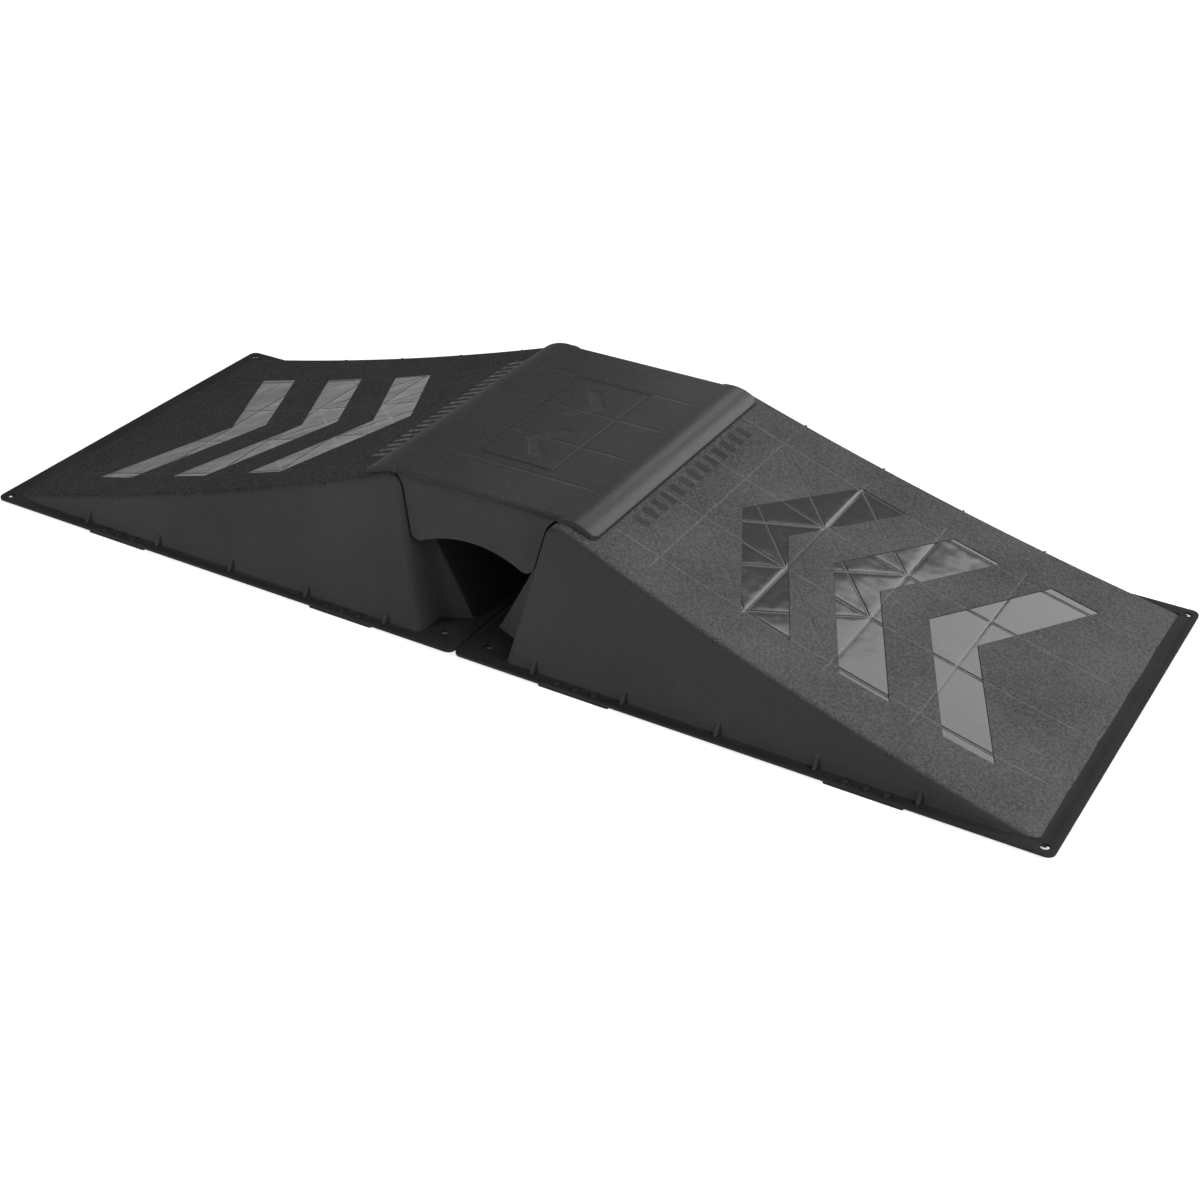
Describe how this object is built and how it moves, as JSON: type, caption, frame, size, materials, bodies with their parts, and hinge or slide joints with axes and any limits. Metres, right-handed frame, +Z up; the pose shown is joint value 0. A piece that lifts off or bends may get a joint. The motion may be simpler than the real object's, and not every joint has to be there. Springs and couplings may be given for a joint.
{
  "type": "two-way skate ramp",
  "caption": "Low two-way skate ramp of moulded plastic: a curved ramp and a straight ramp, back to back, joined by a lift-off bridge that hooks over both ridges.",
  "frame": {"origin": "on the ground, at the centre of the footprint, where the two ramps meet", "axes": "+X along the ride towards the straight ramp's toe, +Y across, +Z up"},
  "size_m": [1.636, 0.6, 0.2081],
  "materials": {
    "curved_shell": "fine spark-grained black plastic, chevrons smooth and glossier",
    "straight_shell": "fine spark-grained black plastic, chevrons smooth and glossier",
    "bridge_shell": "fine spark-grained black plastic with satin lips",
    "pad_rubber": "plain matt black rubber"
  },
  "bodies": {
    "ramps": {"curved_pad_inner_far": "pad_rubber", "curved_pad_inner_near": "pad_rubber", "curved_pad_side_far_ridge": "pad_rubber", "curved_pad_side_far_toe": "pad_rubber", "curved_pad_side_near_ridge": "pad_rubber", "curved_pad_side_near_toe": "pad_rubber", "curved_ramp": "curved_shell", "straight_pad_inner_far": "pad_rubber", "straight_pad_inner_near": "pad_rubber", "straight_pad_side_far_ridge": "pad_rubber", "straight_pad_side_far_toe": "pad_rubber", "straight_pad_side_near_ridge": "pad_rubber", "straight_pad_side_near_toe": "pad_rubber", "straight_ramp": "straight_shell"},
    "bridge": {"bridge": "bridge_shell"}
  },
  "joints": [
    {"name": "bridge_lift", "type": "slide", "parent": "ramps", "child": "bridge", "axis": [0, 0, 1], "range_m": [0, 0.12]}
  ]
}
